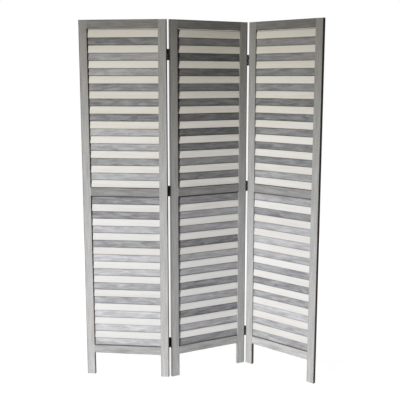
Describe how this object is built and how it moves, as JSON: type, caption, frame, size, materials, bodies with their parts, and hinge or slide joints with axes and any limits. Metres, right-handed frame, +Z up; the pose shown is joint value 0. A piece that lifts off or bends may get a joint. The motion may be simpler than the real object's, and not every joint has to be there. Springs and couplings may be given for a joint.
{
  "type": "folding screen",
  "caption": "Wooden folding screen with louvred panels, weathered grey frames and alternating white and grey slats, folding in a zigzag on small black butt hinges.",
  "frame": {"origin": "on the floor under the middle of the box round the six stiles, with the screen standing folded as in the picture", "axes": "+Z up along the stiles, -Y out of the front of the screen, +X to the right seen from the front"},
  "size_m": [1.1052, 0.2801, 1.7],
  "materials": {
    "frame": "softwood brushed with a thin grey wash, weathered grain, matt",
    "white_slat": "thin softwood slat, whitewashed, matt",
    "grey_slat": "thin softwood slat, grey wash brushed lengthwise, matt",
    "dowel": "plain beech dowel, glued",
    "hinge": "pressed steel, black enamelled",
    "screw": "small countersunk wood screw, bronzed"
  },
  "bodies": {
    "middle_panel": {"middle_panel_left_stile": "frame", "middle_panel_right_stile": "frame", "middle_panel_top_rail": "frame", "middle_panel_middle_rail": "frame", "middle_panel_bottom_rail": "frame", "middle_panel_upper_white_slats": "white_slat", "middle_panel_upper_grey_slats": "grey_slat", "middle_panel_lower_white_slats": "white_slat", "middle_panel_lower_grey_slats": "grey_slat", "middle_panel_dowels": "dowel", "left_fold_bottom_hinge_right_leaf": "hinge", "left_fold_middle_hinge_right_leaf": "hinge", "left_fold_top_hinge_right_leaf": "hinge", "right_fold_bottom_hinge_left_leaf": "hinge", "right_fold_bottom_hinge_pin": "hinge", "right_fold_middle_hinge_left_leaf": "hinge", "right_fold_middle_hinge_pin": "hinge", "right_fold_top_hinge_left_leaf": "hinge", "right_fold_top_hinge_pin": "hinge", "left_fold_right_screws": "screw", "right_fold_left_screws": "screw"},
    "left_panel": {"left_panel_left_stile": "frame", "left_panel_right_stile": "frame", "left_panel_top_rail": "frame", "left_panel_middle_rail": "frame", "left_panel_bottom_rail": "frame", "left_panel_upper_white_slats": "white_slat", "left_panel_upper_grey_slats": "grey_slat", "left_panel_lower_white_slats": "white_slat", "left_panel_lower_grey_slats": "grey_slat", "left_panel_dowels": "dowel", "left_fold_bottom_hinge_left_leaf": "hinge", "left_fold_bottom_hinge_pin": "hinge", "left_fold_middle_hinge_left_leaf": "hinge", "left_fold_middle_hinge_pin": "hinge", "left_fold_top_hinge_left_leaf": "hinge", "left_fold_top_hinge_pin": "hinge", "left_fold_left_screws": "screw"},
    "right_panel": {"right_panel_left_stile": "frame", "right_panel_right_stile": "frame", "right_panel_top_rail": "frame", "right_panel_middle_rail": "frame", "right_panel_bottom_rail": "frame", "right_panel_upper_white_slats": "white_slat", "right_panel_upper_grey_slats": "grey_slat", "right_panel_lower_white_slats": "white_slat", "right_panel_lower_grey_slats": "grey_slat", "right_panel_dowels": "dowel", "right_fold_bottom_hinge_right_leaf": "hinge", "right_fold_middle_hinge_right_leaf": "hinge", "right_fold_top_hinge_right_leaf": "hinge", "right_fold_right_screws": "screw"}
  },
  "joints": [
    {"name": "left_fold", "type": "hinge", "parent": "middle_panel", "child": "left_panel", "pos_m": [-0.14477, -0.03926, 0.85], "axis": [0, 0, -1], "range_deg": [-42, 147]},
    {"name": "right_fold", "type": "hinge", "parent": "middle_panel", "child": "right_panel", "pos_m": [0.2326, 0.12543, 0.85], "axis": [0, 0, -1], "range_deg": [-76.5, 112.5]}
  ]
}
